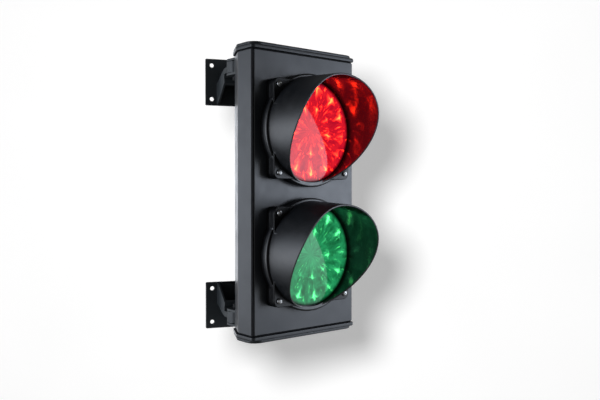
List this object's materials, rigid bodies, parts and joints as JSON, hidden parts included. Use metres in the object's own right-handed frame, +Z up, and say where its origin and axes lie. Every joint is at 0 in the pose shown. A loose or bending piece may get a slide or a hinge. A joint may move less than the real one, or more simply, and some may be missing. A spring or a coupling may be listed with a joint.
{
  "type": "traffic signal head",
  "caption": "Wall-hung traffic signal head with stacked red and green lamps, cut-away visors, an opening front cover and swivelling wall brackets.",
  "frame": {"origin": "middle of the back face of the upper wall plate", "axes": "+Z up, -Y the way the lamps face at rest, +X to the right of someone facing away from the lamps' side"},
  "size_m": [0.1696, 0.2148, 0.37],
  "materials": {
    "anthracite_paint": "satin powder coat",
    "bracket_paint": "satin black",
    "cap_plastic": "fine-textured moulded plastic",
    "bezel_plastic": "fine-textured moulded plastic",
    "visor_plastic": "satin moulded plastic",
    "rubber_seal": "matt",
    "steel": "zinc plated",
    "lens_red": "clear-moulded polycarbonate",
    "lens_green": "clear-moulded polycarbonate",
    "white_plastic": "moulded",
    "circuit_board": "solder resist",
    "gland_plastic": "moulded polyamide"
  },
  "bodies": {
    "wall_mount": {"wall_bracket_upper": "bracket_paint", "wall_bracket_lower": "bracket_paint"},
    "head": {"head_lug_upper": "bracket_paint", "pivot_bolt_upper": "steel", "pivot_nut_upper": "steel", "cover_catch_upper": "steel", "lug_screw_upper_1": "steel", "lug_screw_upper_2": "steel", "head_lug_lower": "bracket_paint", "pivot_bolt_lower": "steel", "pivot_nut_lower": "steel", "cover_catch_lower": "steel", "lug_screw_lower_1": "steel", "lug_screw_lower_2": "steel", "housing_body": "anthracite_paint", "cap_top": "cap_plastic", "gasket_top": "rubber_seal", "hinge_pin_top": "steel", "cap_screw_top_1": "steel", "cap_screw_top_2": "steel", "cap_screw_top_3": "steel", "cap_screw_top_4": "steel", "cap_bottom": "cap_plastic", "gasket_bottom": "rubber_seal", "hinge_pin_bottom": "steel", "cap_screw_bottom_1": "steel", "cap_screw_bottom_2": "steel", "cap_screw_bottom_3": "steel", "cap_screw_bottom_4": "steel", "cover_seal": "rubber_seal", "board_tray": "bezel_plastic", "control_board": "circuit_board", "terminal_block": "white_plastic", "cable_gland": "gland_plastic", "gland_nut": "gland_plastic"},
    "cover": {"front_cover": "anthracite_paint", "bezel_red": "bezel_plastic", "visor_red": "visor_plastic", "lens_red": "lens_red", "lens_seal_red": "rubber_seal", "lamp_housing_red": "white_plastic", "led_board_red": "circuit_board", "visor_screw_red_tl": "steel", "visor_screw_red_tr": "steel", "visor_screw_red_bl": "steel", "visor_screw_red_br": "steel", "bezel_green": "bezel_plastic", "visor_green": "visor_plastic", "lens_green": "lens_green", "lens_seal_green": "rubber_seal", "lamp_housing_green": "white_plastic", "led_board_green": "circuit_board", "visor_screw_green_tl": "steel", "visor_screw_green_tr": "steel", "visor_screw_green_bl": "steel", "visor_screw_green_br": "steel"}
  },
  "joints": [
    {"name": "head_pan", "type": "hinge", "parent": "wall_mount", "child": "head", "pos_m": [-0.01662, -0.04567, -0.1506], "axis": [0, 0, 1], "range_deg": [-50, 10]},
    {"name": "cover_hinge", "type": "hinge", "parent": "head", "child": "cover", "pos_m": [0.11248, -0.12187, -0.1506], "axis": [0, 0, 1], "range_deg": [0, 90]}
  ]
}
